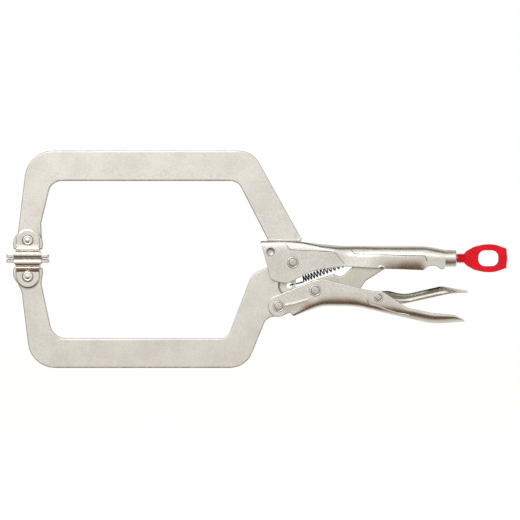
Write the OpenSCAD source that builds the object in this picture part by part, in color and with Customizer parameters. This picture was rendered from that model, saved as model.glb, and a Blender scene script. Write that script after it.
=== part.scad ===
// Locking C clamp with swivel pads, 18 inch class.
// X runs from the pads to the screw's ring, Z is up, and the clamp's plane is Y = 0.
// The clamp stands on the lower jaw's straight edge at Z = 0, with its jaws closed and locked.
// Flat outlines are lists of turning points [x, z, corner radius].

/* [Jaws] */
// Thickness of both jaw bars
jaw_t = 10; // [8:0.5:10.2]
// Radius of the round boss at each jaw's tip
tip_boss_r = 13.6; // [13:0.1:14]
// Thickness of the lower jaw where the spring's hook passes round it
hook_web_t = 3.4; // [2.4:0.2:4]
// Radius of the hole for the spring's hook
hook_hole_r = 2.6; // [2:0.1:3]

/* [Handles] */
// Thickness of the sheet that the handles are pressed from
sheet_t = 2.4; // [2:0.1:3]
// Clear gap between the two cheeks of a handle
channel_gap = 10.8; // [10.6:0.1:12]
// Radius of the round tail of the upper handle
barrel_r = 7.6; // [7:0.1:8]
// Radius of the lower handle's front end
handle_nose_r = 9.9; // [9:0.1:10.5]

/* [Rivets] */
// Shank radius of the main pivot, handle pivot and link rivets
pivot_r = 3.6; // [3:0.1:4]
// Head radius of those three rivets
pivot_head_r = 5.4; // [5:0.1:6]
// Height of a rivet's head
head_t = 1.1; // [0.8:0.1:1.5]
// Shank radius of the jaw fixing rivet
fixing_r = 3.5; // [3:0.1:4]
// Shank radius of the release lever's rivet
lever_rivet_r = 2.4; // [2:0.1:3]
// Radial clearance between a rivet and the bore that turns on it
running_gap = 0.05; // [0.02:0.01:0.1]

/* [Pads] */
// Length of a pad along the jaw
pad_l = 38.6; // [34:0.2:40]
// Width of a pad across the jaw
pad_w = 25; // [22:0.5:28]
// Thickness of a pad's plate
pad_t = 3.5; // [3:0.1:4]
// Length of a pad's ears along the jaw
ear_l = 21.7; // [20:0.1:24]
// Thickness of a pad's ears
ear_t = 2.2; // [1.8:0.1:2.6]
// Height of a pad's rivet above its contact face
pad_pivot_h = 16.5; // [16.4:0.1:17]
// Shank radius of a pad's rivet
pad_rivet_r = 3; // [2.5:0.1:3.5]
// Radius of the domed head of a pad's rivet
pad_head_r = 5.5; // [5:0.1:6]

/* [Screw and ring] */
// Outer radius of the adjusting screw
screw_r = 3.95; // [3.5:0.05:4]
// Outer radius of the threaded bush in the upper handle's tail
nut_r = 5.8; // [5.4:0.1:6]
// Thickness of the flat ring grip
ring_t = 8; // [6:0.5:9]
// Radius of the ring grip's neck
ring_neck_r = 4.4; // [4.2:0.1:5]

/* [Spring] */
// Outer radius of the return spring
spring_r = 3.25; // [2.8:0.05:3.3]
// Radius of the spring's wire
wire_r = 0.55; // [0.4:0.05:0.6]

/* [Hidden] */
$fn = 64;
corner_steps = 6;
far = 60;

// Pivot centres, as [x, z]
main_pivot = [32.8, 96.3];
handle_pivot = [19.8, 56.4];
link_pivot = [53.1, 70.7];
link_toe = [118, 98.6];
lever_pivot = [110.9, 64.3];
fixing_hole = [12.4, 106];
hook_hole = [29.6, 75.3];
anchor_pin = [97, 100.6];
pad_x = -209.2;
contact_z = 100;
screw_z = 100.2;

channel_w = channel_gap + 2 * sheet_t;
link_t = 9.6;
lever_w = 10.2;
lever_sheet = 1.6;
lower_eye_r = 11.5;
lower_ear_r = 9.6;
link_eye_r = 9.3;
toe_r = 6;
lever_eye_r = 5;
anchor_r = 1.2;
barrel_x0 = 168;
barrel_x1 = 182;
web_x0 = 41.5;
lower_web_x0 = 32.8;
screw_x0 = 128.8;
screw_x1 = 182.4;
spigot_r = 3;
spigot_l = 11;
hook_recess_r = 10;
tip_boss_h = 12.8;
tip_flat_h = 8.4;
tip_cut_h = 20;
eye_gap = 1.2;
head_taper = 1;
lever_head_r = 3.8;
lever_head_flat_r = 3.1;
fixing_inset = 0.5;
nut_inset = 0.5;
ring_gap = 0.2;
bore_overshoot = 1;
// The straight wires lap into the coil's wall, which they must be thinner than
wire_lap = [1, 0.3];
straight_wire_r = wire_r - 0.05;
// The back wires end on top of the anchor pin
back_hook = anchor_pin + [0.6, 2.8];

steel = "#d9d6cf";
polished = "#cfccc6";
rivet_steel = "#c2bfb8";
black_steel = "#1c1c1e";
red_coat = "#d21f2b";

// ---------- outlines ----------

function unit(v) = v / norm(v);
function flat(p) = [p[0], p[1]];

// The arc that rounds the corner b between its neighbours a and c
function corner(a, b, c, r) =
    let (
        u = unit(a - b),
        w = unit(c - b),
        half = acos(u * w) / 2,
        start = b + u * r / tan(half),
        finish = b + w * r / tan(half),
        middle = b + unit(u + w) * r / sin(half),
        a0 = atan2(start.y - middle.y, start.x - middle.x),
        a1 = atan2(finish.y - middle.y, finish.x - middle.x),
        sweep = (a1 - a0 + 540) % 360 - 180
    )
    [for (i = [0 : corner_steps])
        middle + r * [cos(a0 + sweep * i / corner_steps), sin(a0 + sweep * i / corner_steps)]];

function rounded(points) =
    let (n = len(points))
    [for (i = [0 : n - 1])
        each points[i][2] == 0
            ? [flat(points[i])]
            : corner(flat(points[(i + n - 1) % n]), flat(points[i]),
                     flat(points[(i + 1) % n]), points[i][2])];

upper_jaw_outline = [
    [-218.5, 122, 0], [-209.2, 198.4, 26], [-4.3, 198.4, 21], [39.6, 119.8, 1.5], [38.5, 108, 0],
    [19.5, 100, 1], [8.6, 100, 3], [9.5, 117.8, 0],
    [-17.6, 170.8, 11], [-188, 170.8, 12], [-197.3, 132, 18], [-196.5, 118, 0]];

lower_jaw_outline = [
    [-196.5, 83, 0], [-196.8, 76, 10], [-186.4, 27.1, 15], [-27.1, 27.1, 9], [-5, 85.2, 15],
    [16, 95.6, 6], [28, 98, 0], [35.4, 92, 0], [35.4, 66, 6], [29, 53, 0], [19.8, 46.8, 0],
    [8.9, 46.8, 10], [-10.1, 0, 22], [-206.4, 0, 25], [-215, 70, 12], [-219, 78, 0]];

upper_handle_outline = [
    [3, 115.8, 1.5], [28, 116.3, 50], [78, 111.4, 80], [152, 111.4, 60], [174, 107.6, 0],
    [174, 93.6, 0], [169.4, 89.4, 2], [159.6, 95.6, 6], [152.6, 89.4, 1.5], [105, 91, 60],
    [80, 92.9, 40], [50, 88.6, 30], [27, 76.6, 14], [13, 80.4, 5], [8, 94.5, 0]];

upper_handle_slot = [
    [-10, 50, 0], [-10, 150, 0], [web_x0, 150, 0], [web_x0, 112.6, 0], [78, 109, 60],
    [152, 109, 40], [barrel_x0, 106.4, 0], [barrel_x0, 50, 0]];

lower_handle_outline = [
    [16.6, 65.7, 0], [57.5, 82.3, 22], [100, 71.3, 60], [115.5, 69.3, 8], [137, 55, 20],
    [160, 50.2, 40], [180.5, 48.4, 6], [189, 43.7, 0], [189, 42.2, 0], [160, 40.3, 60],
    [90, 56.4, 80], [60, 56.8, 40], [33, 47.4, 0], [30.2, 51, 0], [20, 46.5, 0]];

lower_handle_slot = [
    [0, 30, 0], [lower_web_x0, 30, 0], [lower_web_x0, 50.4, 0], [60, 59.3, 35], [90, 58.9, 70],
    [160, 42.8, 50], [184, 44.4, 0], [184, 100, 0], [0, 100, 0]];

toggle_link_outline = [
    [50.2, 79.4, 0], [70.6, 85.9, 1.5], [75.6, 81.2, 4], [87.5, 92.4, 3], [115.6, 104.1, 0],
    [121.4, 93.6, 0], [99.4, 79.7, 4], [91.5, 68.5, 5], [55, 61.6, 0]];

release_lever_outline = [
    [112, 69.4, 0], [118, 70.9, 14], [134.5, 66.9, 30], [168, 74.7, 14], [192.4, 70.7, 0],
    [192.4, 68.9, 0], [176, 68, 24], [134, 58.8, 8], [106, 59, 4], [97.4, 62.4, 1.5], [97.4, 66.4, 1.5]];

release_lever_slot = [
    [90, 40, 0], [90, 64.6, 0], [111, 67, 0], [118, 69.1, 12], [134.5, 65.2, 32], [167, 72.9, 12],
    [180, 70.9, 0], [184, 60, 0], [184, 40, 0]];

ring_outline = [
    [188.8, 104.2, 0], [191.6, 107, 3], [198.5, 110.9, 16], [208.5, 113.1, 26], [217, 112.9, 22],
    [227.6, 109.2, 1], [228.6, 100.2, 12], [227.6, 91.2, 1], [217, 87.5, 22], [208.5, 87.3, 26],
    [198.5, 89.5, 16], [191.6, 93.4, 3], [188.8, 96.2, 0]];

// ---------- shared shapes ----------

module plate(points, t)
    rotate([90, 0, 0]) linear_extrude(t, center = true) polygon(rounded(points));

module cross_rod(centre, r, l)
    translate([centre.x, 0, centre.y]) rotate([90, 0, 0]) cylinder(r = r, h = l, center = true);

module along_x(x0, x1, z, r)
    translate([x0, 0, z]) rotate([0, 90, 0]) cylinder(r = r, h = x1 - x0);

// A rivet across Y whose heads are flat cones on the outside of a stack of width span
module headed_rivet(centre, r, span, head_r, flat_r)
    translate([centre.x, 0, centre.y])
        rotate([90, 0, 0]) {
            cylinder(r = r, h = span + head_t, center = true);
            for (side = [0, 1])
                mirror([0, 0, side])
                    translate([0, 0, span / 2]) cylinder(r1 = head_r, r2 = flat_r, h = head_t);
        }

module domed_rivet(centre, r, span, head_r)
    translate([centre.x, 0, centre.y])
        rotate([90, 0, 0]) {
            cylinder(r = r, h = span + head_t, center = true);
            for (side = [0, 1])
                mirror([0, 0, side])
                    translate([0, 0, span / 2])
                        intersection() {
                            translate([0, 0, -head_r]) sphere(r = head_r * sqrt(2));
                            cylinder(r = head_r, h = head_r);
                        }
        }

// The round end of a jaw, cut flat above the pad's plate
module jaw_tip(side)
    difference() {
        cross_rod([pad_x, contact_z + side * tip_boss_h], tip_boss_r, jaw_t);
        translate([pad_x, 0, contact_z + side * (tip_flat_h - tip_cut_h / 2)])
            cube([3 * tip_boss_r, 2 * jaw_t, tip_cut_h], center = true);
    }

// A pad on its contact face at Z = 0: a plate with two ears that straddle the jaw's tip
module pad_body(side) {
    ear_in = channel_gap / 2;
    ear_out = ear_in + ear_t;
    ear_profile = [
        [ear_in, pad_t - 0.5], [pad_w / 2 - 1, pad_t - 0.5], [pad_w / 2 - 1, pad_t + 1],
        [pad_w / 2 - 3, 7.2], [ear_out + 1.4, 8.6], [ear_out + 1.2, 10.6], [ear_out, 11.6],
        [ear_out, 27.4], [ear_in, 27.4]];
    translate([pad_x, 0, contact_z])
        mirror([0, 0, side < 0 ? 1 : 0])
            difference() {
                union() {
                    translate([-pad_l / 2, -pad_w / 2, 0]) cube([pad_l, pad_w, pad_t]);
                    intersection() {
                        for (y = [0, 1])
                            mirror([0, y, 0])
                                rotate([90, 0, 90])
                                    linear_extrude(ear_l, center = true) polygon(ear_profile);
                        union() {
                            cross_rod([0, pad_pivot_h], ear_l / 2, 2 * pad_w);
                            translate([-ear_l / 2, -pad_w, 0]) cube([ear_l, 2 * pad_w, pad_pivot_h]);
                        }
                    }
                }
                cross_rod([0, pad_pivot_h], pad_rivet_r, 2 * pad_w);
            }
}

// ---------- upper body ----------

module upper_handle()
    color(steel)
        difference() {
            union() {
                difference() {
                    plate(upper_handle_outline, channel_w);
                    plate(upper_handle_slot, channel_gap);
                }
                along_x(barrel_x0, barrel_x1, screw_z, barrel_r);
            }
            along_x(barrel_x0 - bore_overshoot, barrel_x1 + bore_overshoot, screw_z, nut_r);
            cross_rod(fixing_hole, fixing_r, far);
            cross_rod(main_pivot, pivot_r, far);
        }

module upper_jaw()
    color(steel)
        difference() {
            union() {
                plate(upper_jaw_outline, jaw_t);
                jaw_tip(1);
            }
            cross_rod(main_pivot, lower_eye_r + eye_gap, far);
            cross_rod(fixing_hole, fixing_r, far);
            cross_rod([pad_x, contact_z + pad_pivot_h], pad_rivet_r + running_gap, far);
        }

module jaw_fixing_rivet()
    color(rivet_steel) cross_rod(fixing_hole, fixing_r, channel_w - 2 * fixing_inset);

module main_pivot_rivet()
    color(rivet_steel)
        headed_rivet(main_pivot, pivot_r, channel_w, pivot_head_r, pivot_head_r - head_taper);

module screw_nut()
    color(rivet_steel)
        difference() {
            along_x(barrel_x0, barrel_x1 - nut_inset, screw_z, nut_r);
            along_x(barrel_x0 - bore_overshoot, barrel_x1 + bore_overshoot, screw_z, screw_r + running_gap);
        }

module spring_anchor()
    color(rivet_steel) cross_rod(anchor_pin, anchor_r, channel_gap);

// ---------- lower jaw ----------

module lower_jaw()
    color(steel)
        difference() {
            union() {
                plate(lower_jaw_outline, jaw_t);
                jaw_tip(-1);
                cross_rod(main_pivot, lower_eye_r, jaw_t);
                cross_rod(handle_pivot, lower_ear_r, jaw_t);
            }
            cross_rod(main_pivot, pivot_r + running_gap, far);
            cross_rod(handle_pivot, pivot_r + running_gap, far);
            cross_rod([pad_x, contact_z - pad_pivot_h], pad_rivet_r + running_gap, far);
            cross_rod(hook_hole, hook_hole_r, far);
            for (side = [0, 1])
                mirror([0, side, 0])
                    translate([0, (jaw_t + hook_web_t) / 2, 0])
                        cross_rod(hook_hole, hook_recess_r, jaw_t);
        }

// ---------- lower handle ----------

module lower_handle()
    color(steel)
        difference() {
            union() {
                plate(lower_handle_outline, channel_w);
                cross_rod(handle_pivot, handle_nose_r, channel_w);
            }
            plate(lower_handle_slot, channel_gap);
            cross_rod(handle_pivot, pivot_r, far);
            cross_rod(link_pivot, pivot_r, far);
            cross_rod(lever_pivot, lever_rivet_r, far);
        }

module handle_pivot_rivet()
    color(rivet_steel)
        headed_rivet(handle_pivot, pivot_r, channel_w, pivot_head_r, pivot_head_r - head_taper);

module link_rivet()
    color(rivet_steel)
        headed_rivet(link_pivot, pivot_r, channel_w, pivot_head_r, pivot_head_r - head_taper);

module release_lever_rivet()
    color(rivet_steel)
        headed_rivet(lever_pivot, lever_rivet_r, channel_w, lever_head_r, lever_head_flat_r);

// ---------- toggle link and release lever ----------

module toggle_link()
    color(steel)
        difference() {
            union() {
                plate(toggle_link_outline, link_t);
                cross_rod(link_pivot, link_eye_r, link_t);
                cross_rod(link_toe, toe_r, link_t);
            }
            cross_rod(link_pivot, pivot_r + running_gap, far);
        }

module release_lever()
    color(polished)
        difference() {
            plate(release_lever_outline, lever_w);
            plate(release_lever_slot, lever_w - 2 * lever_sheet);
            cross_rod(lever_pivot, lever_rivet_r + running_gap, far);
        }

// ---------- spring ----------

module wire(p, q, y) {
    run = q - p;
    translate([p.x, y, p.y])
        rotate([0, 90 - atan2(run.y, run.x), 0]) cylinder(r = straight_wire_r, h = norm(run));
}

module return_spring() {
    coil_start = [41.2, 80.9];
    coil_end = [84, 96.9];
    run = coil_end - coil_start;
    wire_y = spring_r - wire_r;
    color(black_steel) {
        translate([coil_start.x, 0, coil_start.y])
            rotate([0, 90 - atan2(run.y, run.x), 0])
                difference() {
                    cylinder(r = spring_r, h = norm(run));
                    translate([0, 0, -1]) cylinder(r = spring_r - 2 * wire_r, h = norm(run) + 2);
                }
        for (side = [-1, 1]) {
            wire(hook_hole, coil_start + wire_lap, side * wire_y);
            wire(coil_end - wire_lap, back_hook, side * wire_y);
        }
        cross_rod(hook_hole, wire_r, 2 * spring_r);
        cross_rod(back_hook, wire_r, 2 * spring_r);
    }
}

// ---------- screw ----------

module adjusting_screw()
    color(rivet_steel) {
        along_x(screw_x0, screw_x1, screw_z, screw_r);
        along_x(screw_x1 - bore_overshoot, screw_x1 + spigot_l, screw_z, spigot_r);
    }

module ring_grip() {
    neck_x0 = screw_x1 + ring_gap;
    neck_x1 = 190;
    hole_l = 18.4;
    hole_h = 14.4;
    hole_r = 6;
    hole_x = 211.3;
    color(red_coat)
        difference() {
            union() {
                plate(ring_outline, ring_t);
                along_x(neck_x0, neck_x1, screw_z, ring_neck_r);
            }
            along_x(neck_x0 - bore_overshoot, screw_x1 + spigot_l + ring_gap, screw_z,
                    spigot_r + running_gap);
            translate([hole_x, 0, screw_z])
                plate([for (c = [[-1, -1], [-1, 1], [1, 1], [1, -1]])
                    [c.x * hole_l / 2, c.y * hole_h / 2, hole_r]], far);
        }
}

// ---------- pads ----------

module upper_pad() color(polished) pad_body(1);

module lower_pad() color(polished) pad_body(-1);

module upper_pad_rivet()
    color(polished)
        domed_rivet([pad_x, contact_z + pad_pivot_h], pad_rivet_r, channel_gap + 2 * ear_t, pad_head_r);

module lower_pad_rivet()
    color(polished)
        domed_rivet([pad_x, contact_z - pad_pivot_h], pad_rivet_r, channel_gap + 2 * ear_t, pad_head_r);

upper_handle();
upper_jaw();
jaw_fixing_rivet();
main_pivot_rivet();
lower_jaw();
handle_pivot_rivet();
lower_handle();
link_rivet();
toggle_link();
release_lever();
release_lever_rivet();
return_spring();
spring_anchor();
screw_nut();
adjusting_screw();
ring_grip();
upper_pad();
upper_pad_rivet();
lower_pad();
lower_pad_rivet();
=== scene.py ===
"""Locking C clamp with swivel pads: the looks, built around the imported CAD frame.

Side view outlines are lists of turning points (x, z, corner radius) in millimetres, in the frame's own
axes: X along the clamp, Z up, Y across it. Every mesh is made in metres in that frame.
"""
import math

import bmesh
import bpy
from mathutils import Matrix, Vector
from mathutils.bvhtree import BVHTree

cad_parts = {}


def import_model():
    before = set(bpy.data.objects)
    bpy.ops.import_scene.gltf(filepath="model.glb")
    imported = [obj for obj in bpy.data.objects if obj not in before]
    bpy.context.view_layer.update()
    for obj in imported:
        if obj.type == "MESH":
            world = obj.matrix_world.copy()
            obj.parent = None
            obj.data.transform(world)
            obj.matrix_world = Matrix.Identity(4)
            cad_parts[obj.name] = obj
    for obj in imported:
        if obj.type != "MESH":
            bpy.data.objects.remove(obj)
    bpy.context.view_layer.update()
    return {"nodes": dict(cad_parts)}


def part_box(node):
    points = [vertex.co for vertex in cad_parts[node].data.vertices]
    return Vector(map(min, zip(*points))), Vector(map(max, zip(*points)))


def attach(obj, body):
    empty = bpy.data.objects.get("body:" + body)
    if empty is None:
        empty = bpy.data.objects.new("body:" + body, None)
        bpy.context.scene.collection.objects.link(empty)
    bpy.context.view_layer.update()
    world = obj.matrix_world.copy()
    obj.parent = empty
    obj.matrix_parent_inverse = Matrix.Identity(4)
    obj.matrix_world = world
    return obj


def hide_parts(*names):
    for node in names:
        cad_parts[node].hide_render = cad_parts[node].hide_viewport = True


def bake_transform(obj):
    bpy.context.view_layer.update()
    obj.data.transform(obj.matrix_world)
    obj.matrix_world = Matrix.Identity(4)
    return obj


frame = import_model()

# Shapes are made in millimetres. MM turns them into metres.
MM = 0.001
# The handles' sheet, and how far from the middle plane their cheeks' outer faces lie.
SHEET, CHEEK_Y = 2.4, 7.8
# The thickness and the rounded edge of the jaws and of the link.
JAW_T, JAW_EDGE = 10.0, 1.1
LINK_T, LINK_EDGE = 9.6, 0.9
# Radii of the large rivets' shanks and heads, of the holes, and of the rings coined round the large rivets.
RIVET_R, HEAD_R, BORE_R, PAD_BORE_R, FIXING_BORE_R = 3.6, 3.72, 3.65, 3.05, 3.5
COINED = (3.75, 5.4)
# Facets of a round part.
ROUND = 72


# ---------- places taken from the frame ----------

def centre(node):
    """The centre of a CAD node's box in the side view, in millimetres, as (x, z)."""
    low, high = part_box(node)
    return ((low.x + high.x) / 2 / MM, (low.z + high.z) / 2 / MM)


def extent(node, axis):
    """A CAD node's lowest and highest value on an axis, in millimetres."""
    low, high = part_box(node)
    return low[axis] / MM, high[axis] / MM


MAIN_PIVOT = centre("main_pivot_rivet")
HANDLE_PIVOT = centre("handle_pivot_rivet")
LINK_PIVOT = centre("link_rivet")
LEVER_PIVOT = centre("release_lever_rivet")
FIXING_HOLE = centre("jaw_fixing_rivet")
UPPER_PAD_PIVOT = centre("upper_pad_rivet")
LOWER_PAD_PIVOT = centre("lower_pad_rivet")
ANCHOR = centre("spring_anchor")
SCREW_Z = centre("adjusting_screw")[1]
CONTACT_Z = extent("upper_pad", 2)[0]
PAD_X = UPPER_PAD_PIVOT[0]
# Two places that no node's box is centred on: the spring's hole in the lower jaw, and the link's far end.
HOOK_HOLE = (29.6, 75.3)
LINK_TOE = (118.0, 98.6)


# ---------- outlines ----------

def arc(cx, cz, r, start, end, steps=10):
    """Points on an arc, from the start angle to the end angle in degrees."""
    angles = [math.radians(start + (end - start) * i / steps) for i in range(steps + 1)]
    return [(cx + r * math.cos(a), cz + r * math.sin(a)) for a in angles]


def circle(at, r, steps=48):
    """A closed circle round the point at."""
    return arc(*at, r, 0, 360, steps)[:-1]


def corner(a, b, c, r, steps=7):
    """The arc of radius r that rounds the corner b between its neighbours a and c."""
    a, b, c = Vector(a), Vector(b), Vector(c)
    u, w = (a - b).normalized(), (c - b).normalized()
    half = math.acos(max(-1, min(1, u.dot(w)))) / 2
    middle = b + (u + w).normalized() * r / math.sin(half)
    first, last = b + u * r / math.tan(half), b + w * r / math.tan(half)
    a0 = math.atan2(first.y - middle.y, first.x - middle.x)
    a1 = math.atan2(last.y - middle.y, last.x - middle.x)
    sweep = (a1 - a0 + math.pi) % (2 * math.pi) - math.pi
    turns = [a0 + sweep * i / steps for i in range(steps + 1)]
    return [(middle.x + r * math.cos(t), middle.y + r * math.sin(t)) for t in turns]


def rounded(points, closed=True):
    """Turning points to an outline. Radius 0 keeps a point sharp; an open line's ends stay as they are."""
    out, n = [], len(points)
    for i, p in enumerate(points):
        end = not closed and i in (0, n - 1)
        if p[2] == 0 or end:
            out.append((p[0], p[1]))
        else:
            out += corner(points[i - 1][:2], p[:2], points[(i + 1) % n][:2], p[2])
    return out


def along(line, x):
    """The height of an open line, whose x only grows, at x."""
    if x <= line[0][0]:
        return line[0][1]
    for (x0, z0), (x1, z1) in zip(line, line[1:]):
        if x <= x1:
            return z0 + (z1 - z0) * (x - x0) / max(x1 - x0, 1e-9)
    return line[-1][1]


def smooth(x, start, end):
    """A soft step from 0 at start to 1 at end."""
    t = max(0.0, min(1.0, (x - start) / (end - start)))
    return t * t * (3 - 2 * t)


def distance_to(line, x, z):
    """The distance from a point to an open line."""
    best = 1e9
    for (x0, z0), (x1, z1) in zip(line, line[1:]):
        dx, dz = x1 - x0, z1 - z0
        t = max(0.0, min(1.0, ((x - x0) * dx + (z - z0) * dz) / (dx * dx + dz * dz)))
        best = min(best, math.hypot(x - x0 - t * dx, z - z0 - t * dz))
    return best


# ---------- materials ----------

def new_material(name):
    """A material with its nodes, its links and its shader."""
    material = bpy.data.materials.new(name)
    material.use_nodes = True
    nodes = material.node_tree.nodes
    return material, nodes, material.node_tree.links, nodes["Principled BSDF"]


def noise(nodes, links, place, scale, detail=2.0, rough=0.5):
    texture = nodes.new("ShaderNodeTexNoise")
    texture.inputs["Scale"].default_value = scale
    texture.inputs["Detail"].default_value = detail
    texture.inputs["Roughness"].default_value = rough
    links.new(place, texture.inputs["Vector"])
    return texture.outputs["Fac"]


def mapped(nodes, links, value, low, high, from_low=0.3, from_high=0.7):
    """The value's range from_low to from_high, stretched to low to high. A noise fills about 0.3 to 0.7."""
    node = nodes.new("ShaderNodeMapRange")
    node.inputs["From Min"].default_value = from_low
    node.inputs["From Max"].default_value = from_high
    node.inputs["To Min"].default_value = low
    node.inputs["To Max"].default_value = high
    links.new(value, node.inputs["Value"])
    return node.outputs["Result"]


def calculated(nodes, links, operation, *values):
    """The result of a maths node. Each value is a number or another node's output."""
    node = nodes.new("ShaderNodeMath")
    node.operation = operation
    for socket, value in zip(node.inputs, values):
        if isinstance(value, (int, float)):
            socket.default_value = value
        else:
            links.new(value, socket)
    return node.outputs[0]


def mixed_colour(nodes, links, value, dark, light):
    ramp = nodes.new("ShaderNodeValToRGB")
    for element, position, colour in zip(ramp.color_ramp.elements, (0.3, 0.7), (dark, light)):
        element.position = position
        element.color = (*colour, 1)
    links.new(value, ramp.inputs["Fac"])
    return ramp.outputs["Color"]


def bumped(nodes, links, height, strength, distance):
    bump = nodes.new("ShaderNodeBump")
    bump.inputs["Strength"].default_value = strength
    bump.inputs["Distance"].default_value = distance
    links.new(height, bump.inputs["Height"])
    return bump


def duller_barrel(nodes, links, place, value):
    """The roughness, raised where the upper handle's shell ends and its round barrel begins."""
    more, barrel_x, barrel_z = 0.14, (0.1722, 0.1726), (0.080, 0.085)
    axes = nodes.new("ShaderNodeSeparateXYZ")
    links.new(place, axes.inputs[0])
    far = mapped(nodes, links, axes.outputs["X"], 0.0, more, *barrel_x)
    high = mapped(nodes, links, axes.outputs["Z"], 0.0, 1.0, *barrel_z)
    return calculated(nodes, links, "MULTIPLY_ADD", far, high, value)


def metal(name, dark, light, roughness, grain_scale, grain, wave=0.0, metallic=1.0, barrel=False):
    """Plated metal: a fine grain in its surface and gloss, slow changes of tone, and a slight waviness."""
    cloud_share, cloud_scale, speckle_scale, wave_scale = 0.45, 45, grain_scale * 0.42, 70
    grain_height, wave_height = 0.00012, 0.0012
    material, nodes, links, shader = new_material(name)
    place = nodes.new("ShaderNodeTexCoord").outputs["Object"]
    shader.inputs["Metallic"].default_value = metallic
    speckle = noise(nodes, links, place, speckle_scale)
    tone = calculated(nodes, links, "ADD",
                      mapped(nodes, links, noise(nodes, links, place, cloud_scale, 3, 0.6), 0.0, cloud_share),
                      mapped(nodes, links, speckle, 0.0, 1 - cloud_share))
    links.new(mixed_colour(nodes, links, tone, dark, light), shader.inputs["Base Color"])
    gloss = mapped(nodes, links, speckle, *roughness)
    if barrel:
        gloss = duller_barrel(nodes, links, place, gloss)
    links.new(gloss, shader.inputs["Roughness"])
    bump = bumped(nodes, links, noise(nodes, links, place, grain_scale, 3, 0.65), grain, grain_height)
    if wave:
        broad = bumped(nodes, links, noise(nodes, links, place, wave_scale, 1, 0.4), wave, wave_height)
        links.new(broad.outputs["Normal"], bump.inputs["Normal"])
    links.new(bump.outputs["Normal"], shader.inputs["Normal"])
    return material


SATIN, SATIN_GRAIN = (0.36, 0.46), (2600, 0.35)
JAW = metal("satin_nickel", (0.68, 0.655, 0.61), (0.78, 0.76, 0.715), SATIN, *SATIN_GRAIN)
HANDLE = metal("semi_bright_nickel", (0.68, 0.65, 0.60), (0.80, 0.775, 0.73), (0.21, 0.32), 1900, 0.18,
               wave=0.07, barrel=True)
# The toggle link is the jaws' satin nickel with the same gloss, painted darker and warmer: painted shade
# where the link sits between the handles.
LINK_SHADE_PAINTED = metal("nickel_painted_shade", (0.565, 0.535, 0.475), (0.655, 0.625, 0.565), SATIN, *SATIN_GRAIN)
POLISHED = metal("bright_nickel", (0.74, 0.70, 0.64), (0.84, 0.81, 0.76), (0.15, 0.21), 1500, 0.02, wave=0.03)
RIVET = metal("rivet_steel", (0.52, 0.51, 0.47), (0.62, 0.61, 0.57), (0.34, 0.44), *SATIN_GRAIN)
SPRING = metal("black_oxide", (0.012, 0.012, 0.014), (0.035, 0.035, 0.04), (0.22, 0.36), 2200, 0.2,
               metallic=0.7)
THREAD = metal("plated_thread", (0.50, 0.49, 0.46), (0.66, 0.64, 0.60), (0.24, 0.36), 2000, 0.2)


def red_coating():
    """A dipped plastic coat: slow changes of tone and a faint orange peel."""
    material, nodes, links, shader = new_material("red_coating")
    place = nodes.new("ShaderNodeTexCoord").outputs["Object"]
    cloudy = noise(nodes, links, place, 120, 3, 0.6)
    peel = noise(nodes, links, place, 900)
    links.new(mixed_colour(nodes, links, cloudy, (0.58, 0.004, 0.012), (0.70, 0.007, 0.020)),
              shader.inputs["Base Color"])
    links.new(mapped(nodes, links, peel, 0.34, 0.46), shader.inputs["Roughness"])
    shader.inputs["Specular IOR Level"].default_value = 0.12
    bump = bumped(nodes, links, peel, 0.12, 0.0002)
    links.new(bump.outputs["Normal"], shader.inputs["Normal"])
    return material


RED = red_coating()


# ---------- making pieces ----------

def mesh_from(vertices, faces):
    """A mesh in metres from vertices in millimetres."""
    mesh = bpy.data.meshes.new("made")
    mesh.from_pydata([(x * MM, y * MM, z * MM) for x, y, z in vertices], [], faces)
    mesh.update()
    return mesh


def tidy_mesh(mesh, merge=2e-5):
    """The mesh with close vertices merged, slivers removed and all faces turned outwards."""
    bm = bmesh.new()
    bm.from_mesh(mesh)
    bmesh.ops.remove_doubles(bm, verts=bm.verts, dist=merge)
    bmesh.ops.dissolve_degenerate(bm, edges=bm.edges, dist=merge / 4)
    bmesh.ops.recalc_face_normals(bm, faces=bm.faces)
    bm.to_mesh(mesh)
    bm.free()
    return mesh


def joined(meshes):
    bm = bmesh.new()
    for mesh in meshes:
        bm.from_mesh(mesh)
    out = bpy.data.meshes.new("joined")
    bm.to_mesh(out)
    bm.free()
    return out


def placed_object(name, data):
    obj = bpy.data.objects.new(name, data)
    bpy.context.scene.collection.objects.link(obj)
    return obj


def made_from(obj):
    """The final mesh of a curve, or of a mesh with modifiers. The object itself goes."""
    graph = bpy.context.evaluated_depsgraph_get()
    mesh = bpy.data.meshes.new_from_object(obj.evaluated_get(graph))
    bpy.data.objects.remove(obj)
    return mesh


def cut(mesh, cutter, operation="DIFFERENCE"):
    """The mesh with the cutter's shape taken away or, with UNION, added."""
    tool = placed_object("cutter", cutter)
    obj = placed_object("work", mesh)
    modifier = obj.modifiers.new("cut", "BOOLEAN")
    modifier.object, modifier.operation, modifier.solver = tool, operation, "EXACT"
    out = made_from(obj)
    bpy.data.objects.remove(tool)
    return out


def piece(name, mesh, material, body, node, sharp):
    """A finished piece that stands for a CAD node. Edges sharper than sharp, in degrees, stay crisp."""
    mesh.materials.clear()
    mesh.materials.append(material)
    for polygon in mesh.polygons:
        polygon.use_smooth = True
    mesh.set_sharp_from_angle(angle=math.radians(sharp))
    obj = placed_object(name, mesh)
    weighted = obj.modifiers.new("even_normals", "WEIGHTED_NORMAL")
    weighted.keep_sharp = True
    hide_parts(node)
    if body:
        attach(obj, body)
    return obj


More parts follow.
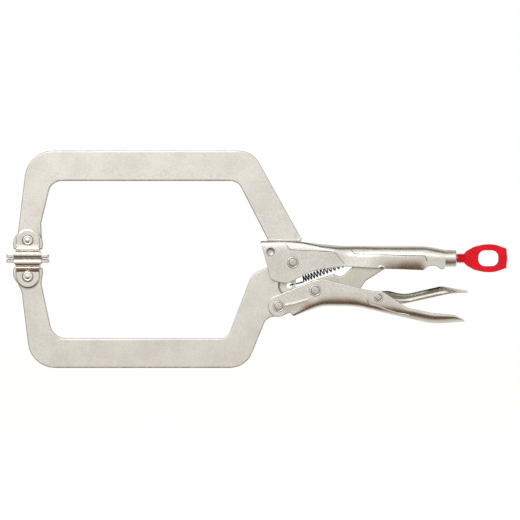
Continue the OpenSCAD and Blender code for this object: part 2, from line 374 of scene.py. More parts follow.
def plate(outlines, thickness, edge, edge_steps=3):
    """A flat plate across Y with rounded edges: the first outline is its rim, the others are holes."""
    curve = bpy.data.curves.new("plate", "CURVE")
    curve.dimensions = "2D"
    curve.fill_mode = "BOTH"
    for outline in outlines:
        spline = curve.splines.new("POLY")
        spline.points.add(len(outline) - 1)
        for point, (x, z) in zip(spline.points, outline):
            point.co = (x * MM, z * MM, 0, 1)
        spline.use_cyclic_u = True
    curve.extrude = (thickness / 2 - edge) * MM
    curve.bevel_depth = edge * MM
    curve.bevel_resolution = edge_steps - 1
    curve.offset = -edge * MM
    mesh = made_from(placed_object("plate", curve))
    for v in mesh.vertices:
        v.co = (v.co.x, -v.co.z, v.co.y)
    return tidy_mesh(mesh)


def turned(profile, steps=ROUND, axis="y", at=(0, 0), closed=False):
    """A shape of revolution about an axis through at, an (x, z) place.

    The profile lists (radius, place along the axis), and closed joins its two ends.
    """
    vertices, faces = [], []
    rows = len(profile)
    for r, d in profile:
        for k in range(steps):
            a = 2 * math.pi * k / steps
            c, s = r * math.cos(a), r * math.sin(a)
            x, y = (c, d) if axis == "y" else (d, c)
            vertices.append((at[0] + x, y, at[1] + s))
    for i in range(rows if closed else rows - 1):
        j = (i + 1) % rows
        for k in range(steps):
            m = (k + 1) % steps
            faces.append((i * steps + k, i * steps + m, j * steps + m, j * steps + k))
    if not closed:
        faces.append(tuple(range(steps)))
        faces.append(tuple(range((rows - 1) * steps, rows * steps)))
    return tidy_mesh(mesh_from(vertices, faces))


def tube(points, r, sides):
    """A round wire along a list of points (x, y, z)."""
    vertices, faces = [], []
    line = [Vector(p) for p in points]
    up = Vector((0, 0, 1))
    for i, p in enumerate(line):
        tangent = (line[min(i + 1, len(line) - 1)] - line[max(i - 1, 0)]).normalized()
        side = tangent.cross(up)
        side = side.normalized() if side.length > 1e-3 else Vector((0, 1, 0))
        up = side.cross(tangent).normalized()
        for k in range(sides):
            a = 2 * math.pi * k / sides
            vertices.append(tuple(p + r * (math.cos(a) * side + math.sin(a) * up)))
    for i in range(len(line) - 1):
        for k in range(sides):
            m = (k + 1) % sides
            faces.append((i * sides + k, i * sides + m, (i + 1) * sides + m, (i + 1) * sides + k))
    faces.append(tuple(range(sides)))
    faces.append(tuple(range((len(line) - 1) * sides, len(line) * sides)))
    return tidy_mesh(mesh_from(vertices, faces), merge=2e-6)


def stations(start, end, step=0.7, edge=0.7, marks=()):
    """Values of x from start to end, step apart, but closer at both ends, where the sheet is rounded."""
    ease = [edge * t for t in (0, 0.04, 0.15, 0.35, 0.65, 1)]
    fixed = [start + edge, *sorted(marks), end - edge]
    out = [start + t for t in ease[:-1]]
    for a, b in zip(fixed, fixed[1:]):
        count = max(1, round((b - a) / step))
        out += [a + (b - a) * i / count for i in range(count)]
    return out + [end - t for t in reversed(ease)]


def channel(lips, crown, xs, lean, half, back, relief, sheet, closed_from=-1e9, edge=0.7, mouth=(1.4, 1.0),
            roof=0.0, bend=lambda x: 2.0, room=lambda x: math.inf):
    """A pressed sheet channel, lofted along X between the line of its lips and the line of its crown.

    lean(x) is how far the crown's point of a station lies from its lips' point, along X. half(x) is half the
    channel's width and back(x) how deep its rounded back is. relief(x, z) is how far a cheek is pressed in.
    Before closed_from the back is left out, so that only two cheeks stand there: mouth is the size of the
    chamfer on their edges and how far those edges lean in. roof is how straight the back's flanks are, from a
    round back at 0 to a ridge at 1. bend(x) is 2 for a round back and more for a squarer one. room(x) is the
    most that the relief may press the sheet's inner face in. The sheet's edges are rounded.
    """
    cheek_n, bend_n, top_n = 34, 14, 7
    inner_bend, closing_run, lean_run = 4.0, 20, 9
    rings = []
    for i, x in enumerate(xs):
        crown_x = x + lean(x)
        lip_z, crown_z = along(lips, x), along(crown, crown_x)
        height, sign = abs(crown_z - lip_z), (1 if crown_z > lip_z else -1)
        rim = min(edge, 0.3 * height)
        near = min(x - xs[0], xs[-1] - x)
        inset = edge * (1 - math.sqrt(max(0, 1 - (1 - near / edge) ** 2))) if near < edge else 0
        w, s = half(x) - inset, min(sheet, 0.45 * height) - 2 * inset
        top = height - inset
        deep = min(back(x), 0.8 * top)
        closed = smooth(x, closed_from, closed_from + closing_run)
        chamfer, tuck = mouth

        def profile(inward):
            ww, tt, dd = w - inward, top - inward, max(deep - inward, 0.3)
            rows = []
            for k in range(cheek_n):
                t = k / cheek_n
                h0 = rim + (tt - dd - rim) * t
                h1 = rim + (top - chamfer - rim) * t
                lean_in = tuck * max(0, (h1 - top + lean_run) / lean_run) ** 2
                rows.append((h0 * closed + h1 * (1 - closed), ww - lean_in * (1 - closed), 1.0))
            for k in range(bend_n + top_n + 1):
                a = math.pi / 2 * k / (bend_n + top_n)
                straight = k / (bend_n + top_n)
                power = 2 / (max(bend(x), inner_bend) if inward else bend(x))
                h0 = tt - dd + dd * (math.sin(a) ** power * (1 - roof) + straight * roof)
                y0 = ww * (max(0, math.cos(a)) ** power * (1 - roof) + (1 - straight) * roof)
                t = min(1, k / bend_n)
                h1 = top - chamfer * (1 - t) * (0.999 if inward else 1)
                y1 = ww - tuck - (0 if inward else chamfer) * t
                if k > bend_n:
                    y1 *= 1 - (k - bend_n) / top_n
                rows.append((h0 * closed + h1 * (1 - closed), y0 * closed + y1 * (1 - closed), math.cos(a)))
            return rows

        def placed(rows, most=math.inf):
            out = []
            for h, y, strength in rows:
                px, pz = x + (crown_x - x) * h / height, lip_z + sign * h
                out.append((px, y - strength * min(relief(px, pz), most), pz))
            return out

        outer, inner = placed(profile(0)), placed(profile(s), room(x))
        rounding = [(rim * (1 - math.sin(t)), rim * (1 - math.cos(t))) for t in (0.5, 1.05, 1.5)]
        nose = placed([(h, w - y, 1) for h, y in rounding])
        nose += placed([(h, w - s + y, 1) for h, y in reversed(rounding)], room(x))
        near_side = [(px, -y, z) for px, y, z in outer] + [(px, y, z) for px, y, z in reversed(outer[:-1])]
        inside = [(px, -y, z) for px, y, z in inner] + [(px, y, z) for px, y, z in reversed(inner[:-1])]
        rings.append((near_side, inside, [(px, -y, z) for px, y, z in nose], nose))
    m, p = len(rings[0][0]), len(rings[0][2])
    size = 2 * m + 2 * p
    vertices = [v for ring in rings for part in ring for v in part]
    near_chain = [0] + [2 * m + k for k in range(p)] + [m]
    far_chain = [m - 1] + [2 * m + p + k for k in range(p)] + [2 * m - 1]
    gap = range(cheek_n + bend_n, m - 1 - cheek_n - bend_n)
    faces = []

    def strip(i, u, v):
        faces.append((i * size + u, i * size + v, (i + 1) * size + v, (i + 1) * size + u))

    def cap(i, cells):
        faces.extend((i * size + k, i * size + k + 1, i * size + m + k + 1, i * size + m + k) for k in cells)

    is_open = [xs[i + 1] <= closed_from + 1e-6 for i in range(len(xs) - 1)]
    for i, opened in enumerate(is_open):
        for k in range(m - 1):
            if not (opened and k in gap):
                strip(i, k, k + 1)
                strip(i, m + k, m + k + 1)
        for chain in (near_chain, far_chain):
            for u, v in zip(chain, chain[1:]):
                strip(i, u, v)
        if opened:
            strip(i, gap[0], m + gap[0])
            strip(i, gap[-1] + 1, m + gap[-1] + 1)
            if not is_open[i + 1]:
                cap(i + 1, gap)
    cap(0, [k for k in range(m - 1) if not (is_open[0] and k in gap)])
    cap(len(xs) - 1, range(m - 1))
    for i in (0, len(xs) - 1):
        for chain in (near_chain, far_chain):
            faces.append(tuple(i * size + k for k in chain))
    return tidy_mesh(mesh_from(vertices, faces), merge=3e-6)


def divided(outline, step):
    """A closed outline with points no further than step apart."""
    out = []
    for (x0, z0), (x1, z1) in zip(outline, outline[1:] + outline[:1]):
        count = max(1, math.ceil(math.dist((x0, z0), (x1, z1)) / step))
        out += [(x0 + (x1 - x0) * i / count, z0 + (z1 - z0) * i / count) for i in range(count)]
    return out


def merged(outline, at, r, steps=64):
    """The outline joined with a disc that crosses it twice; a negative r cuts the disc away."""
    add, r = r > 0, abs(r)
    outline = divided(outline, 1.5)
    inside = [math.dist(p, at) < r for p in outline]
    n = len(outline)
    start = next(i for i in range(n) if inside[i] and not inside[i - 1])
    order = [(start + i) % n for i in range(n)]
    kept = [outline[i] for i in order if not inside[i]]

    def crossing(p, q):
        low, high = 0.0, 1.0
        for _ in range(40):
            t = (low + high) / 2
            m = (p[0] + (q[0] - p[0]) * t, p[1] + (q[1] - p[1]) * t)
            low, high = (low, t) if math.dist(m, at) < r else (t, high)
        return m

    run_end = next(i for i in range(1, n) if not inside[order[i]])
    enter = crossing(outline[order[0]], outline[start - 1])
    leave = crossing(outline[order[run_end - 1]], outline[order[run_end]])
    a0 = math.degrees(math.atan2(enter[1] - at[1], enter[0] - at[0]))
    a1 = math.degrees(math.atan2(leave[1] - at[1], leave[0] - at[0]))
    turn = (a1 - a0) % 360
    for t in (turn, turn - 360):
        middle = math.radians(a0 + t / 2)
        p = (at[0] + r * math.cos(middle), at[1] + r * math.sin(middle))
        if contains(outline, p) != add:
            return arc(*at, r, a0, a0 + t, max(3, int(steps * abs(t) / 360))) + kept
    return outline


def contains(outline, p):
    """Whether the point p lies inside a closed outline."""
    hit = False
    for (x0, z0), (x1, z1) in zip(outline, outline[1:] + outline[:1]):
        if (z0 > p[1]) != (z1 > p[1]) and p[0] < x0 + (p[1] - z0) * (x1 - x0) / (z1 - z0):
            hit = not hit
    return hit


def stack(slices):
    """A solid lofted through closed rings of points that all have the same count."""
    n = len(slices[0])
    vertices = [p for ring in slices for p in ring]
    faces = [(i * n + k, i * n + (k + 1) % n, (i + 1) * n + (k + 1) % n, (i + 1) * n + k)
             for i in range(len(slices) - 1) for k in range(n)]
    faces += [tuple(range(n)), tuple(range((len(slices) - 1) * n, len(slices) * n))]
    return tidy_mesh(mesh_from(vertices, faces), merge=5e-6)


def cheek_depth(mesh):
    """A function that gives how far a cheek's face lies from the middle plane at (x, z)."""
    tree = BVHTree.FromPolygons([v.co for v in mesh.vertices], [p.vertices[:] for p in mesh.polygons])

    def depth(x, z):
        hit = tree.ray_cast(Vector((x, -50, z)) * MM, Vector((0, 1, 0)))[0]
        return -hit.y / MM if hit else None
    return depth


def with_normals(line, step=0.9):
    """An open line cut into short steps, each point with the unit vector across the line, upwards."""
    closing = max(1, math.ceil(math.dist(line[-1], line[0]) / step))
    points = divided(line, step)[:-closing] + [line[-1]]
    out = []
    for i, p in enumerate(points):
        a, b = points[max(i - 1, 0)], points[min(i + 1, len(points) - 1)]
        along_line = Vector((b[0] - a[0], b[1] - a[1])).normalized()
        out.append((p, (-along_line.y, along_line.x)))
    return out


def scored(mesh, line, width, depth, out=0.5):
    """The mesh with a groove on both cheeks along an open line. Only the groove's upper wall slopes."""
    face = cheek_depth(mesh)
    reach = width * (1 + out / depth)
    for side in (-1, 1):
        rings = []
        for (x, z), (nx, nz) in with_normals(line):
            y = face(x, z)
            if y is not None:
                rings.append([(x + nx * reach, side * (y + out), z + nz * reach), (x, side * (y + out), z),
                              (x, side * (y - depth), z)])
        mesh = cut(mesh, stack(rings))
    return mesh


def bead(mesh, line, r, rise):
    """Two wires sunk in the cheeks along an open line, a raised fold that stands rise above each cheek."""
    face = cheek_depth(mesh)
    places = [(x, z, face(x, z)) for (x, z), _ in with_normals(line)]
    places = [(x, z, y) for x, z, y in places if y is not None]
    return [tube([(x, side * (y + rise - r), z) for x, z, y in places], r, 14) for side in (-1, 1)]


# ---------- jaws ----------

BOSS_R, BOSS_RISE, BOSS_CUT = 13.6, 12.8, 8.4


def with_boss(outline, side):
    """The jaw's outline with the round boss at its tip, cut flat where the pad's base begins."""
    z = CONTACT_Z + side * BOSS_RISE
    out = merged(outline, (PAD_X, z), BOSS_R)
    flat = CONTACT_Z + side * BOSS_CUT
    return [(x, max(zz, flat) if side > 0 else min(zz, flat)) for x, zz in out]


def jaws():
    """The two jaws. The upper one has a hollow for the lower one's eye, and a lip where its tang begins."""
    eye_r, ear_r, hollow_r, hook_bore_r = 11.5, 9.6, 12.7, 2.6
    upper = rounded([(-218.5, 122, 0), (-209.2, 198.4, 26), (-4.3, 198.4, 21), (39.6, 119.8, 1.5),
                     (38.5, 108, 0), (19.5, 100, 1), (8.6, 100, 3), (9.5, 117.8, 0), (-17.6, 170.8, 11),
                     (-188, 170.8, 12), (-197.3, 132, 18), (-196.5, 118, 0)])
    upper = merged(with_boss(upper, 1), MAIN_PIVOT, -hollow_r)
    holes = [circle(UPPER_PAD_PIVOT, PAD_BORE_R), circle(FIXING_HOLE, FIXING_BORE_R)]
    lip = rounded([(8.8, 115.6, 0.3), (8.6, 117.4, 0.8), (20, 117.9, 30), (37.4, 117.6, 1),
                   (39.2, 119.6, 0.8), (41.0, 118.6, 0.9), (40.2, 115.4, 0.3)])
    mesh = joined([plate([upper, *holes], JAW_T, JAW_EDGE), plate([lip], 13.0, 0.7)])
    piece("jaw_upper_arm", mesh, JAW, "upper_frame", "upper_jaw", 30)

    lower = rounded([(-196.5, 83, 0), (-196.8, 76, 10), (-186.4, 27.1, 15), (-27.1, 27.1, 9), (-5, 85.2, 15),
                     (16, 95.6, 6), (28, 98, 0), (35.4, 92, 0), (35.4, 66, 6), (29, 53, 0), (19.8, 46.8, 0),
                     (8.9, 46.8, 10), (-10.1, 0, 22), (-206.4, 0, 25), (-215, 70, 12), (-219, 78, 0)])
    lower = merged(merged(with_boss(lower, -1), MAIN_PIVOT, eye_r), HANDLE_PIVOT, ear_r)
    holes = [circle(LOWER_PAD_PIVOT, PAD_BORE_R), circle(MAIN_PIVOT, BORE_R), circle(HANDLE_PIVOT, BORE_R),
             circle(HOOK_HOLE, hook_bore_r)]
    mesh = plate([lower, *holes], JAW_T, JAW_EDGE)
    thinned = [(8.7, 1.7), (9.1, 2.0), (10.4, 4.0), (10.6, 4.5), (10.6, 8)]
    for side in (-1, 1):
        mesh = cut(mesh, turned([(r, side * y) for r, y in thinned], at=HOOK_HOLE))
    piece("jaw_lower_arm", mesh, JAW, "lower_jaw", "lower_jaw", 30)


# ---------- handles ----------

def coined_ring(at, inner, outer):
    """Two raised rings round a rivet, one on each cheek."""
    rise, sunk = 0.5, -1.2
    profile = [(inner - 0.1, sunk)]
    for k in range(11):
        a = math.pi * k / 10
        profile.append(((inner + outer) / 2 - (outer - inner) / 2 * math.cos(a), rise * math.sin(a) ** 2))
    profile.append((outer - 0.1, sunk))
    return joined([turned([(r, side * (CHEEK_Y + d)) for r, d in profile], at=at, closed=True)
                   for side in (-1, 1)])


def upper_handle():
    """A channel open downwards with two embossed lines and a dimple. Its front is only two cheeks."""
    lips = rounded([(8, 94.5, 0), (13, 80.4, 5), (27, 76.6, 14), (50, 88.6, 30), (80, 92.9, 40),
                    (105, 91, 60), (151.6, 89.2, 2), (156.6, 93.3, 4), (163.6, 93.2, 5), (168.4, 90.0, 1.5),
                    (171.0, 90.6, 1.2), (171.9, 94.0, 0), (172.4, 97, 0)], False)[1:]
    crown = rounded([(0, 115.8, 0), (3, 115.8, 0), (28, 116.3, 50), (78, 111.4, 80), (154, 111.2, 50),
                     (172.4, 107.9, 0)], False)
    start, closed_from = lips[0][0], 41.5
    line_a = rounded([(25.1, 114, 0), (29.5, 107.6, 2.5), (70.6, 105.6, 4), (79.3, 94.9, 0)], False)
    line_b = rounded([(84.5, 109.2, 0), (88.4, 103.9, 2.5), (153.1, 101.7, 1.5), (154.4, 97.5, 0)], False)
    dimple = (113.4, 90.2)

    def relief(x, z):
        """The fields over line_a and between both lines lean inwards, the belly under line_b is pressed in
        towards the lips, and the dimple's rim is raised."""
        pressed = 0.035 * max(0, z - along(line_a, x)) * smooth(x, 25, 31) * (1 - smooth(x, 66, 84))
        pressed += 0.085 * max(0, z - 92.5) * smooth(x, 70, 84) * (1 - smooth(x, 98, 114))
        if 100 < x < 160 and z < 103:
            fade = smooth(x, 99, 126) * (1 - smooth(x, 146, 158))
            pressed += (2.1 + 0.8 * smooth(x, 126, 134)) * fade * max(0, (101.5 - z) / 11.5) ** 2
        pressed -= 0.5 * math.exp(-(((math.hypot(x - dimple[0], z - dimple[1]) - 2.4) / 0.7) ** 2))
        return pressed

    def back(x):
        return 5.5 + 5 * smooth(x, 60, 92) - 2.5 * smooth(x, 158, 173)

    def half(x):
        return CHEEK_Y - 0.15 * smooth(x, 160, 172)

    def lean(x):
        return (3 - start) * (1 - smooth(x, start, 40))

    def room(x):
        return 0.55 + 3 * smooth(x, 126, 135)

    mesh = channel(lips, crown, stations(start, 172.2, marks=[closed_from]), lean, half, back, relief, SHEET,
                   closed_from, edge=0.55, room=room)
    sink = [(FIXING_BORE_R, 5), (FIXING_BORE_R, CHEEK_Y - 0.7), (4.2, CHEEK_Y + 0.2), (4.2, 9)]
    for side in (-1, 1):
        mesh = cut(mesh, turned([(r, side * y) for r, y in sink], 64, at=FIXING_HOLE))
    mesh = scored(mesh, line_a, 0.8, 0.36)
    mesh = scored(mesh, line_b, 1.15, 0.68)
    barrel = turned([(5.85, 168), (7.35, 168), (7.6, 168.5), (7.6, 180.9), (7.35, 181.6), (6.9, 182.0),
                     (6.2, 182.0), (5.85, 181.6)], 96, "x", (0, SCREW_Z), closed=True)
    mesh = joined([mesh, barrel, coined_ring(MAIN_PIVOT, *COINED)])
    piece("handle_upper_shell", mesh, HANDLE, "upper_frame", "upper_handle", 22)


def lower_handle():
    """A channel open upwards with a crease at its front and a raised fold. Its front is only two cheeks."""
    nose_r, closed_from = 9.9, 30.9
    lips = arc(*HANDLE_PIVOT, nose_r, 180, 110, 24)
    lips += rounded([(16.6, 65.7, 0), (57.5, 82.3, 22), (100, 71.3, 60), (115.5, 69.3, 8), (137, 55, 20),
                     (160, 50.2, 40), (180.5, 48.4, 6), (189, 43.8, 0)], False)
    crown = arc(*HANDLE_PIVOT, nose_r, 180, 270, 24)
    crown += rounded([(20, 46.5, 0), (30.2, 51, 1), (33, 47.4, 0.8), (60, 56.8, 40), (90, 56.4, 80),
                      (160, 40.3, 60), (189, 42.2, 0)], False)
    crease = rounded([(23.6, 56.8, 0), (33.8, 58.7, 12), (45.3, 62.1, 12), (52.9, 63.6, 0)], False)
    pad_edge = rounded([(101.0, 63.5, 0), (101.4, 58.4, 5), (108.8, 57, 9), (118.3, 53.2, 20),
                        (128.9, 50.1, 20), (138.8, 48.6, 0)], False)

    def relief(x, z):
        """The cheek falls away under the crease, whose own edge is raised, and behind it towards the back."""
        pressed = 0.0
        if 20 < x < 56:
            d = distance_to(crease, x, z)
            below = z < along(crease, x)
            fade = (1 - smooth(x, 44, 54)) * smooth(x, 22, 27)
            pressed += ((0.55 * smooth(d, 0, 7) if below else 0) - 0.25 * math.exp(-((d / 0.8) ** 2))) * fade
        if 50 < x < 100:
            low = max(0, along(crown, x) + 13 - z) / 8
            pressed += 0.45 * low ** 2 * smooth(x, 52, 62) * (1 - smooth(x, 88, 99))
        return pressed

    def half(x):
        return CHEEK_Y - 1.2 * smooth(x, 176, 189)

    def bend(x):
        return 3.1 - 1.5 * smooth(x, 108, 146)

    def room(x):
        return 0.25 + 3 * smooth(x, 40, 52)

    mesh = channel(lips, crown, stations(10.0, 189, marks=[closed_from]), lambda x: 0, half, lambda x: 12,
                   relief, SHEET, closed_from, mouth=(0.9, 0.1), bend=bend, room=room)
    folds = bead(mesh, pad_edge, 0.9, 0.55)
    rings = [coined_ring(HANDLE_PIVOT, *COINED), coined_ring(LINK_PIVOT, *COINED),
             coined_ring(LEVER_PIVOT, 2.7, 4.2)]
    mesh = joined([mesh, *folds, *rings])
    piece("handle_lower_shell", mesh, HANDLE, "lower_handle", "lower_handle", 38)


def release_lever():
    """A narrow trough whose back is nearly a ridge."""
    lips = rounded([(97.4, 62.4, 0), (106, 59, 4), (134, 58.8, 8), (176, 68.0, 24), (192.2, 68.9, 0)], False)
    crown = rounded([(97.4, 66.4, 0), (112, 69.4, 12), (118, 70.9, 14), (134.5, 66.9, 30), (168, 74.7, 14),
                     (192.2, 70.7, 0)], False)

    def relief(x, z):
        return 0.26 * max(0, along(lips, x) + 3.6 - z) * smooth(x, 118, 128) * (1 - smooth(x, 174, 184))

    mesh = channel(lips, crown, stations(97.4, 192.2, edge=0.4), lambda x: 0, lambda x: 5.1, lambda x: 6.4,
                   relief, 1.6, edge=0.4, roof=0.9)
    piece("lever_release_trough", mesh, POLISHED, "release_lever", "release_lever", 38)


# ---------- toggle link ----------

def toggle_link():
    link = rounded([(50.2, 79.4, 0), (70.4, 85.9, 1.5), (75.6, 81.6, 6.5), (87.5, 92.4, 3), (115.6, 104.1, 0),
                    (121.4, 93.6, 0), (99.4, 79.7, 4), (91.5, 68.5, 5), (55, 61.6, 0)])
    link = merged(merged(link, LINK_PIVOT, 9.3), LINK_TOE, 6)
    mesh = plate([link, circle(LINK_PIVOT, BORE_R)], LINK_T, LINK_EDGE)
    piece("link_toggle", mesh, LINK_SHADE_PAINTED, "toggle_link", "toggle_link", 30)


# ---------- rivets ----------

def two_headed(head, seat):
    """A rivet's profile with the same head at both ends. The head lists (radius, height above its seat)."""
    return [(r, -seat - h) for r, h in head] + [(r, seat + h) for r, h in reversed(head)]


def headed_rivet(name, at, body, node, r=RIVET_R, head_r=HEAD_R):
    """A rivet through both cheeks, with flat round heads that have a chamfered edge."""
    head = [(head_r * 0.2, 0.98), (head_r * 0.8, 1.0), (head_r * 0.85, 0.96), (head_r * 0.99, 0.62),
            (head_r, 0.54), (head_r, -0.2), (r - 0.02, -0.3)]
    piece(name, turned(two_headed(head, CHEEK_Y), at=at), RIVET, body, node, 50)


def pad_rivet(name, at, body, node):
    """A domed rivet: each head has a shallow round groove between its centre and its brim."""
    seat = 7.6
    dome = [(0.02, 2.1), (0.8, 2.02), (1.5, 1.76), (2.1, 1.46), (2.6, 1.32), (3.0, 1.42), (3.4, 1.54),
            (3.9, 1.5), (4.4, 1.24), (4.9, 0.82), (5.25, 0.4), (5.4, 0.15), (5.4, 0.02), (3.0, 0)]
    piece(name, turned(two_headed(dome, seat), at=at), POLISHED, body, node, 50)


def rivets():
    headed_rivet("rivet_main_pivot", MAIN_PIVOT, "upper_frame", "main_pivot_rivet")
    headed_rivet("rivet_handle_pivot", HANDLE_PIVOT, "lower_handle", "handle_pivot_rivet")
    headed_rivet("rivet_link", LINK_PIVOT, "lower_handle", "link_rivet")
    headed_rivet("rivet_release_lever", LEVER_PIVOT, "lower_handle", "release_lever_rivet", 2.4, 2.65)
    flush = [(0.6, 6.5), (1.9, 6.55), (2.7, 6.8), (3.2, 7.2), (3.42, 7.28), (3.48, 7.1), (3.48, 5)]
    mesh = turned(two_headed(flush, 0), 64, at=FIXING_HOLE)
    piece("rivet_jaw_fixing", mesh, RIVET, "upper_frame", "jaw_fixing_rivet", 40)
    pad_rivet("rivet_upper_pad", UPPER_PAD_PIVOT, "upper_pad", "upper_pad_rivet")
    pad_rivet("rivet_lower_pad", LOWER_PAD_PIVOT, "lower_pad", "lower_pad_rivet")


# ---------- pads ----------

def rounded_box_ring(x, y0, y1, h, side, r):
    """Points round a rounded rectangle at height h: x wide each way from the pad's middle, from y0 to y1."""
    r = max(0.02, min(r, x * 0.98, abs(y1 - y0) * 0.49))
    low, high = min(y0, y1), max(y0, y1)
    ring = []
    corners = ((x - r, high - r, 0), (-x + r, high - r, 90), (-x + r, low + r, 180), (x - r, low + r, 270))
    for cx, cy, a in corners:
        for k in range(5):
            t = math.radians(a + 22.5 * k)
            ring.append((PAD_X + cx + r * math.cos(t), cy + r * math.sin(t), CONTACT_Z + side * h))
    return ring


def pad(name, side, body, node):
    """A swivel pad: a base plate, and on each side a wall with two beads and an ear that holds the rivet."""
    half_l, wing_w, ear_r, ear_top = 19.3, 10.7, 10.85, 16.5
    base = []
    for h, inset in ((0, 3.6), (0.46, 0.35), (0.7, 0.0), (3.3, 0.0), (3.7, 0.15), (3.9, 0.5)):
        base.append(rounded_box_ring(half_l - inset * 0.1, -wing_w + inset, wing_w - inset, h, side, 1.6))
    mesh = stack(base)
    for v in mesh.vertices:
        outwards = max(0, abs(v.co.x / MM - PAD_X) - 10) / 9
        v.co.z += side * 0.5 * MM * outwards ** 1.5 * (1 - smooth(abs(v.co.z / MM - CONTACT_Z), 0.7, 3.3))

    def front(h):
        """How far a wall's outer face stands from the middle plane at height h: two beads, then a slope."""
        if h < 0.46:
            return 7.2 + 6.3 * h
        if h < 7.1:
            return 9.2 + 3.2 * math.sqrt(max(0, 1 - ((h - 3.5) / 3.75) ** 2))
        if h < 9.9:
            return 8.55 + 1.5 * math.sqrt(max(0, 1 - ((h - 8.55) / 1.5) ** 2))
        return 7.45 + 1.15 * (1 - smooth(h, 9.8, 13.4)) ** 1.5

    def half_x(h):
        return ear_r + 1.9 * (1 - smooth(h, 3.2, 7.2))

    heights = [0.05, 0.42, 0.48, 0.6, 0.8, 1.0] + [1.0 + 0.2 * i for i in range(1, 68)]

    def ear_ring(inset, y):
        r, low = ear_r - inset, CONTACT_Z + side * 8
        rim = [(PAD_X - r, low), (PAD_X + r, low)]
        rim += arc(PAD_X, CONTACT_Z + side * ear_top, r, 0, side * 180, 40)
        return [(x, y, z) for x, z in rim]

    ear_layers = ((0, 5.4), (0, 6.6), (0.12, 6.96), (0.35, 7.16), (1.25, 7.5), (1.55, 7.59), (1.8, 7.6))

    for way in (-1, 1):
        rings = [rounded_box_ring(half_x(h), way * (5.4 if h > 3 else 4.0), way * front(h), h, side,
                                  0.7 + 0.9 * smooth(h, 9, 11)) for h in heights]
        mesh = cut(mesh, stack(rings), "UNION")
        mesh = cut(mesh, stack([ear_ring(inset, way * y) for inset, y in ear_layers]), "UNION")
    piece(name, mesh, POLISHED, body, node, 35)


# ---------- spring ----------

def spring():
    """The spring hangs in the lower jaw's hole by a hook, and ends in a loop round its anchor."""
    start, end = Vector((41.2, 80.9)), Vector((84, 96.9))
    run = end - start
    length, axis = run.length, run.normalized()
    across = Vector((-axis.y, axis.x))
    coil_r, wire, turns, per_turn, loop_r = 2.65, 0.6, 13.5, 22, 1.8
    points = []

    def place(d, y, n):
        p = start + axis * d + across * n
        return (p.x, y, p.y)

    hook = Vector(HOOK_HOLE) - start
    hook_d, hook_n = hook.dot(axis), hook.dot(across)
    for i in range(10):
        a = math.radians(-200 + 200 * i / 12)
        points.append(place(hook_d + 1.9 - 2.16 * math.cos(a), 2.2 * math.sin(a), hook_n))
    steps = int(turns * per_turn)
    for i in range(steps + 1):
        a, t = 2 * math.pi * i / per_turn, i / steps
        d = wire + (length - 2 * wire) * (0.7 * t + 0.3 * t * t)
        points.append(place(d, -coil_r * math.sin(a), -coil_r * math.cos(a)))
    back = Vector(ANCHOR) - start
    back_d, back_n = back.dot(axis), back.dot(across)
    for i in range(11):
        t = i / 10
        points.append(place(length + (back_d - length) * t, coil_r * math.cos(math.pi / 2 * t) * 0.2,
                            coil_r * (1 - t) + (back_n + loop_r) * t))
    for i in range(1, 9):
        a = math.radians(90 - 25 * i)
        points.append(place(back_d + loop_r * math.cos(a), 0, back_n + loop_r * math.sin(a)))
    obj = piece("spring_return", tube(points, wire, 12), SPRING, None, "return_spring", 60)
    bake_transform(obj)


# ---------- screw and ring ----------

def screw():
    """The threaded screw with a tapered tip, and the plain spigot behind it on which the ring turns."""
    pitch, depth, major, start, end = 1.25, 0.68, 3.93, 128.8, 182.3
    steps, per_pitch, taper_run, tip_share = 40, 12, 2.4, 0.846
    rows = int((end - start) / pitch * per_pitch)
    angles = [2 * math.pi * k / steps for k in range(steps)]

    def slice_at(x, radii):
        return [(x, r * math.cos(a), SCREW_Z + r * math.sin(a)) for r, a in zip(radii, angles)]

    rings = [slice_at(start, [0.02] * steps)]
    for i in range(rows + 1):
        x = start + (end - start) * i / rows
        taper = tip_share + (1 - tip_share) * smooth(x, start - 0.4, start + taper_run)
        radii = []
        for k in range(steps):
            phase = (x / pitch - k / steps) % 1
            crest = max(0.0, min(1.0, 1.25 - 2.75 * abs(phase - 0.5)))
            radii.append((major - depth * (1 - crest)) * taper)
        rings.append(slice_at(x, radii))
    for x, r in ((end + 0.02, 2.98), (192.9, 2.98), (193.3, 2.6), (193.35, 0.02)):
        rings.append(slice_at(x, [r] * steps))
    piece("screw_adjusting", stack(rings), THREAD, "adjusting_screw", "adjusting_screw", 40)


def ring():
    """The flat red ring with its ribbed neck."""
    upper = [(188.8, 104.0, 0.6), (191.6, 107.0, 4), (198.5, 110.9, 18), (208.5, 113.1, 28), (217, 112.9, 24),
             (227.6, 109.2, 1)]
    lower = [(x, 2 * SCREW_Z - z, r) for x, z, r in reversed(upper)]
    outline = rounded([*upper, (228.6, SCREW_Z, 12), *lower])
    hole_x, long, high = 211.3, 9.2, 7.2
    hole = rounded([(hole_x + u * long, SCREW_Z + v * high, 6)
                    for u, v in ((-1, -1), (-1, 1), (1, 1), (1, -1))])
    mesh = plate([outline, hole], 8, 1.2, 4)
    profile = [(3.2, 182.7), (3.9, 182.7), (4.2, 182.95), (4.2, 183.8), (3.7, 184.1)]
    for i in range(4):
        x = 184.4 + 1.5 * i
        profile += [(3.7, x), (4.5, x + 0.35), (4.5, x + 0.75), (3.7, x + 1.1)]
    profile += [(4.4, 190.4), (4.4, 191), (3.2, 191.2)]
    neck = turned(profile, 64, "x", (0, SCREW_Z), closed=True)
    piece("ring_grip_red", joined([mesh, neck]), RED, "ring_grip", "ring_grip", 35)


jaws()
upper_handle()
lower_handle()
release_lever()
toggle_link()
rivets()
pad("pad_upper", 1, "upper_pad", "upper_pad")
pad("pad_lower", -1, "lower_pad", "lower_pad")
spring()
screw()
ring()
for node, material in (("screw_nut", THREAD), ("spring_anchor", RIVET)):
    for material_slot in frame["nodes"][node].material_slots:
        material_slot.material = material


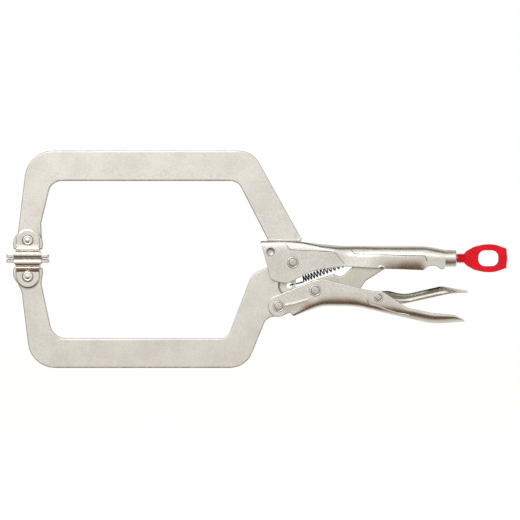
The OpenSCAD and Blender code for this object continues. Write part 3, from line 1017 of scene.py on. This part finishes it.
# ---------- floor, light and camera ----------

def floor():
    """A plain pale floor below the clamp, bright enough to look even."""
    floor_z, half_size = -0.115, 6
    bm = bmesh.new()
    bmesh.ops.create_grid(bm, x_segments=1, y_segments=1, size=half_size)
    mesh = bpy.data.meshes.new("floor")
    bm.to_mesh(mesh)
    bm.free()
    material, *_, shader = new_material("pale_floor")
    shader.inputs["Base Color"].default_value = (0.93, 0.93, 0.93, 1)
    shader.inputs["Roughness"].default_value = 0.9
    shader.inputs["Emission Color"].default_value = (1, 1, 1, 1)
    shader.inputs["Emission Strength"].default_value = 0.42
    mesh.materials.append(material)
    obj = placed_object("floor", mesh)
    obj.location = (0, 0, floor_z)
    obj.visible_glossy = False


# The studio's brightness round the clamp's long axis: 0 degrees is the front, 90 is overhead, 180 the back.
SKY = ((-180, (0.90, 0.89, 0.87)), (-120, (0.84, 0.82, 0.78)), (-92, (0.72, 0.67, 0.60)),
       (-78, (0.22, 0.165, 0.11)), (-58, (0.085, 0.06, 0.04)), (-36, (0.24, 0.165, 0.105)),
       (-24, (0.54, 0.45, 0.36)), (-10, (0.80, 0.78, 0.74)), (0, (0.86, 0.85, 0.825)),
       (16, (1.02, 1.01, 0.99)), (56, (1.12, 1.11, 1.09)), (66, (0.55, 0.52, 0.47)),
       (74, (0.17, 0.145, 0.115)), (94, (0.17, 0.145, 0.115)), (106, (0.66, 0.64, 0.60)),
       (140, (0.82, 0.81, 0.79)), (180, (0.90, 0.89, 0.87)))


def world():
    """The studio: SKY round the clamp's long axis, a warm grey beyond its ends, and white to the camera."""
    beyond_ends, backdrop = (0.32, 0.29, 0.25, 1), (1, 1, 1, 1)
    scene = bpy.context.scene
    scene.world = bpy.data.worlds.new("studio")
    scene.world.use_nodes = True
    nodes, links = scene.world.node_tree.nodes, scene.world.node_tree.links
    background = nodes["Background"]
    background.inputs["Strength"].default_value = 1.0
    split = nodes.new("ShaderNodeSeparateXYZ")
    links.new(nodes.new("ShaderNodeTexCoord").outputs["Generated"], split.inputs["Vector"])
    forwards = calculated(nodes, links, "MULTIPLY", split.outputs["Y"], -1)
    angle = calculated(nodes, links, "ARCTAN2", split.outputs["Z"], forwards)
    share = calculated(nodes, links, "MULTIPLY_ADD", angle, 1 / (2 * math.pi), 0.5)
    ramp = nodes.new("ShaderNodeValToRGB")
    elements = ramp.color_ramp.elements
    while len(elements) < len(SKY):
        elements.new(0.5)
    for element, (degrees, colour) in zip(elements, SKY):
        element.position = degrees / 360 + 0.5
        element.color = (*colour, 1)
    links.new(share, ramp.inputs["Fac"])
    colour = ramp.outputs["Color"]
    sideways = mapped(nodes, links, calculated(nodes, links, "ABSOLUTE", split.outputs["X"]), 0, 1, 0.6, 0.95)
    seen = nodes.new("ShaderNodeLightPath").outputs["Is Camera Ray"]
    for factor, other in ((sideways, beyond_ends), (seen, backdrop)):
        mix = nodes.new("ShaderNodeMix")
        mix.data_type = "RGBA"
        mix.inputs["B"].default_value = other
        links.new(factor, mix.inputs["Factor"])
        links.new(colour, mix.inputs["A"])
        colour = mix.outputs["Result"]
    links.new(colour, background.inputs["Color"])


def lamp(name, at, target, size, power):
    """A soft rectangular light of that size, in metres, and power, in watts."""
    data = bpy.data.lights.new(name, "AREA")
    data.shape = "RECTANGLE"
    data.size, data.size_y = size
    data.energy = power
    obj = placed_object(name, data)
    obj.location = at
    obj.rotation_euler = (Vector(target) - Vector(at)).to_track_quat("-Z", "Y").to_euler()


def camera():
    """A long lens far in front of the clamp, level with its middle, as the photo was taken."""
    data = bpy.data.cameras.new("camera")
    data.lens = 300
    data.sensor_width = 36
    obj = placed_object("camera", data)
    obj.location = (0.0027, -3.96, 0.0986)
    obj.rotation_euler = (math.radians(90), 0, 0)
    bpy.context.scene.camera = obj


floor()
world()
lamp("key", (-0.5, -1.5, 1.0), (0, 0, 0.1), (1.3, 0.5), 9)
camera()
bpy.context.scene.view_settings.view_transform = "Standard"
